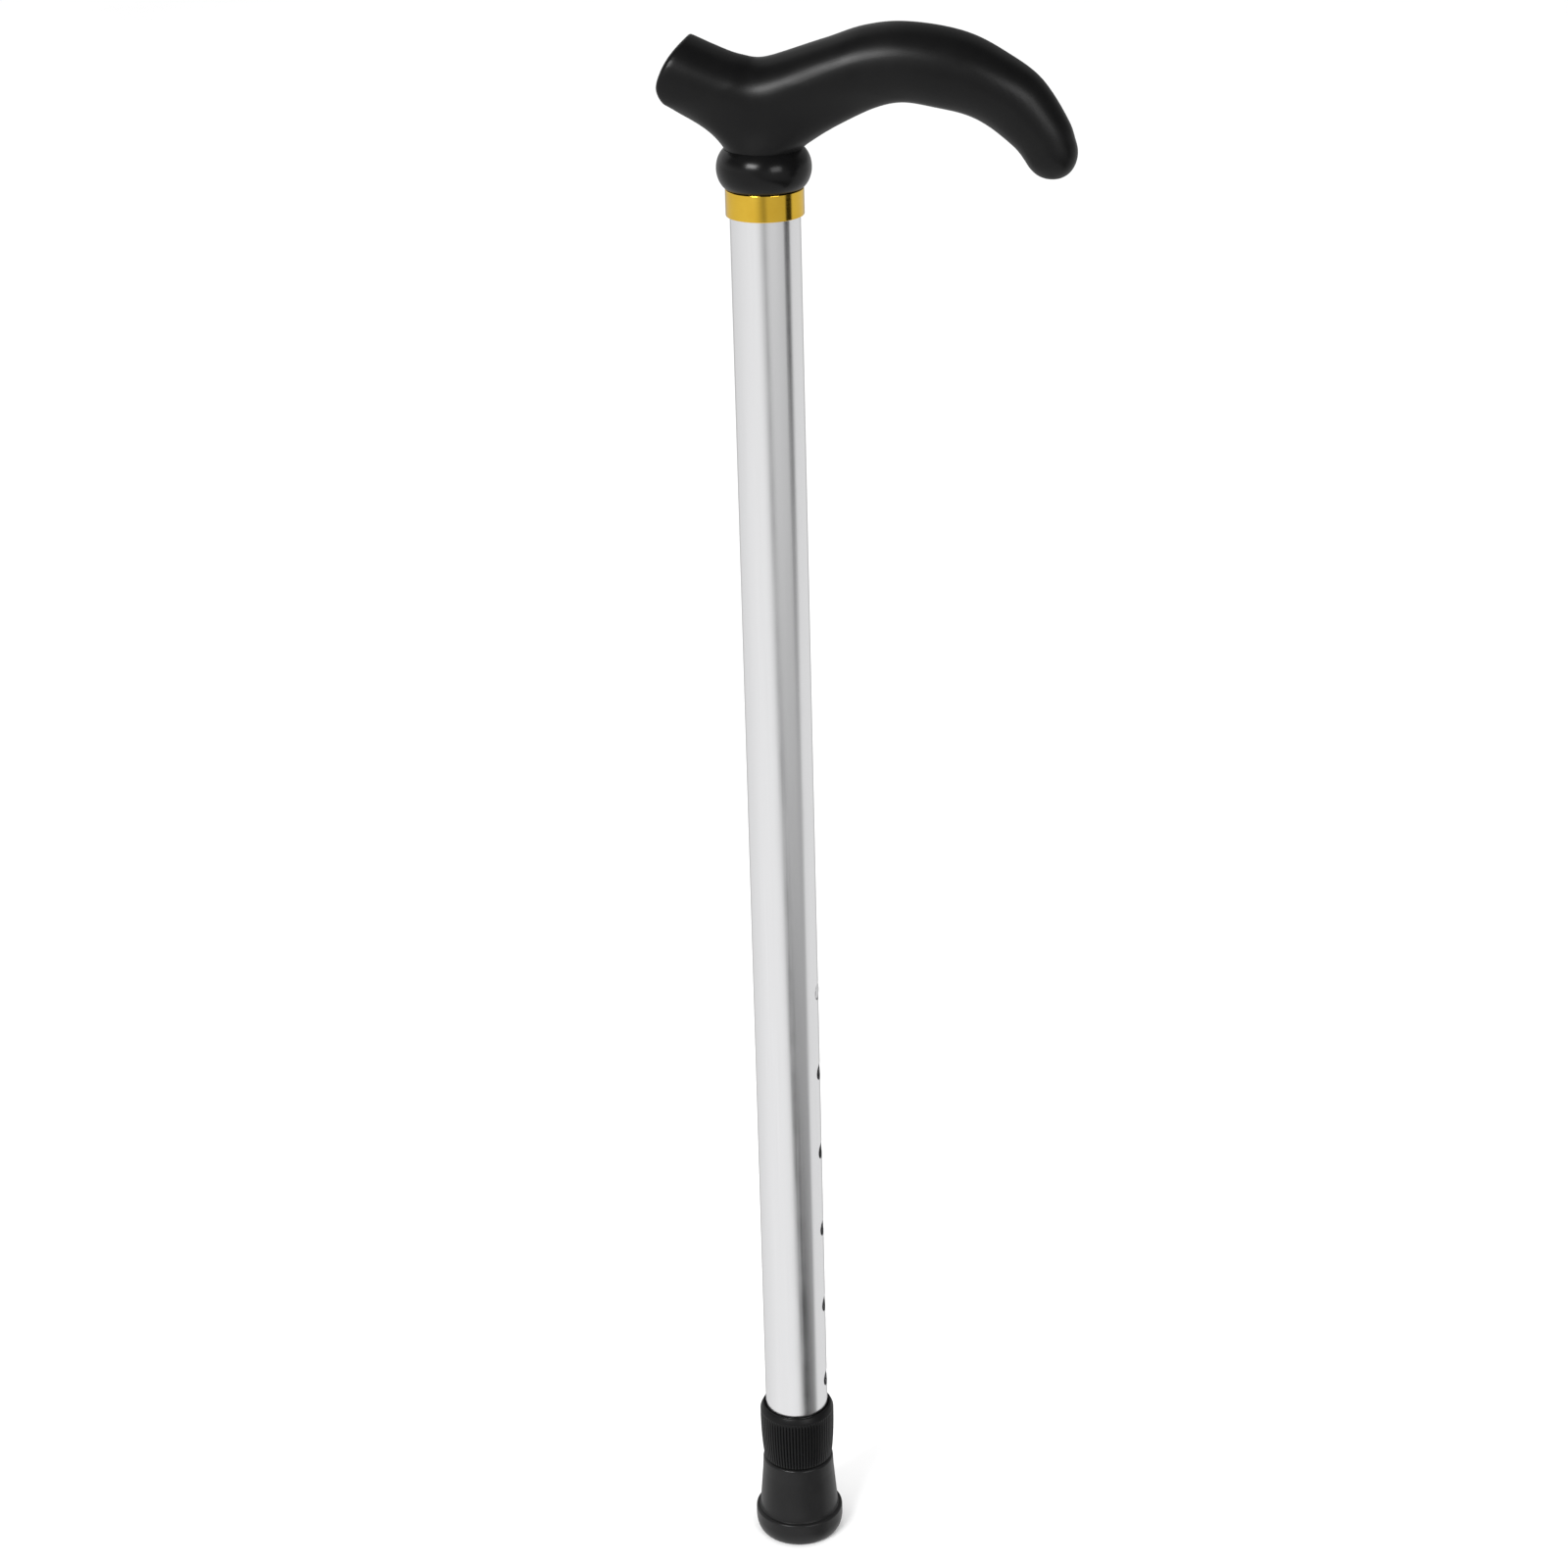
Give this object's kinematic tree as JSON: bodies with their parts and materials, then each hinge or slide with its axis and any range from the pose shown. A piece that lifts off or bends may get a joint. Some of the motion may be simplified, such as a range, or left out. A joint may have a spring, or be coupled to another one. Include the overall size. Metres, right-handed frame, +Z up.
{
  "type": "single point cane",
  "caption": "Height-adjustable walking cane: telescopic tube with snap button and lock ring, curved handle and rubber ferrule.",
  "frame": {"origin": "centre of the ferrule's tread, where the cane meets the ground, on the shaft's axis", "axes": "+Z up the shaft to the handle, +X along the handle's grip and on the side of the height holes, +Y across the handle"},
  "size_m": [0.1472, 0.0358, 0.6246],
  "materials": {
    "handle_plastic": "satin black moulded plastic with a soft sheen",
    "collar_gloss": "glossy black moulded plastic",
    "gold_band": "polished gold-coloured band",
    "brass_insert": "turned brass",
    "anodised_tube": "clear satin anodised, drawn tube",
    "ring_plastic": "matt black moulded plastic",
    "ferrule_rubber": "black moulded rubber, slightly greyed",
    "nylon": "natural nylon",
    "steel": "zinc plated steel",
    "spring_steel": "bright spring steel",
    "button_steel": "nickel plated steel"
  },
  "bodies": {
    "upper": {"handle_grip": "handle_plastic", "handle_insert": "brass_insert", "neck_collar": "collar_gloss", "gold_band": "gold_band", "handle_stem": "nylon", "handle_screw": "steel", "screw_washer": "steel", "stem_pin_front": "steel", "stem_pin_back": "steel", "upper_shaft": "anodised_tube", "lock_collet": "nylon"},
    "lock_ring": {"lock_ring": "ring_plastic"},
    "lower": {"lower_shaft": "anodised_tube", "guide_plug": "nylon", "button_spring": "spring_steel", "ferrule": "ferrule_rubber", "ferrule_washer": "steel"},
    "snap_button": {"snap_button": "button_steel"}
  },
  "joints": [
    {"name": "height_slide", "type": "slide", "parent": "upper", "child": "lower", "axis": [0, 0, -1], "range_m": [0, 0.1765], "deforming": ["snap_button"]},
    {"name": "lock_ring_turn", "type": "hinge", "parent": "upper", "child": "lock_ring", "pos_m": [0, 0, 0.048], "axis": [0, 0, -1], "range_deg": [0, 180]},
    {"name": "button_press", "type": "slide", "parent": "lower", "child": "snap_button", "axis": [-1, 0, 0], "range_m": [0, 0.0018], "stiffness_N_per_m": 1400, "deforming": ["button_spring"]}
  ]
}
